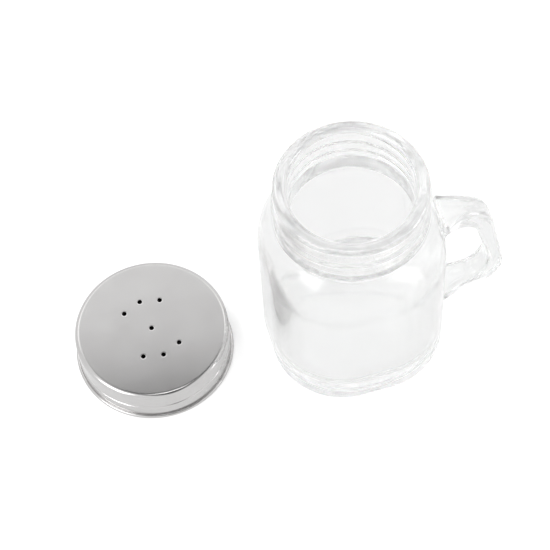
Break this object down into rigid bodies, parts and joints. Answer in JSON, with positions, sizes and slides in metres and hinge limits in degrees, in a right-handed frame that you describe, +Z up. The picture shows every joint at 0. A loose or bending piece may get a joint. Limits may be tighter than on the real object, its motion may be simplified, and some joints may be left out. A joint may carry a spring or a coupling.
{
  "type": "spice jar",
  "caption": "Small clear glass mug-shaped spice shaker with an ear handle, beside its steel screw lid with pouring holes.",
  "frame": {"origin": "centre of the jar's base, on the surface that it stands on", "axes": "+Z up along the jar's neck, +X from the jar's axis towards its handle; the lid lies on the side of -X"},
  "size_m": [0.1457, 0.066, 0.0872],
  "materials": {
    "clear_glass": "clear moulded glass, fire polished",
    "lid_steel": "satin tin-plated steel",
    "seal_liner": "soft off-white sealing compound"
  },
  "bodies": {
    "jar": {"glass_jar": "clear_glass"},
    "lid": {"lid_shell": "lid_steel", "lid_seal": "seal_liner"}
  },
  "joints": [
    {"name": "lid_lift", "type": "slide", "parent": "jar", "child": "lid", "axis": [0, 0, 1], "range_m": [0, 0.1]}
  ]
}
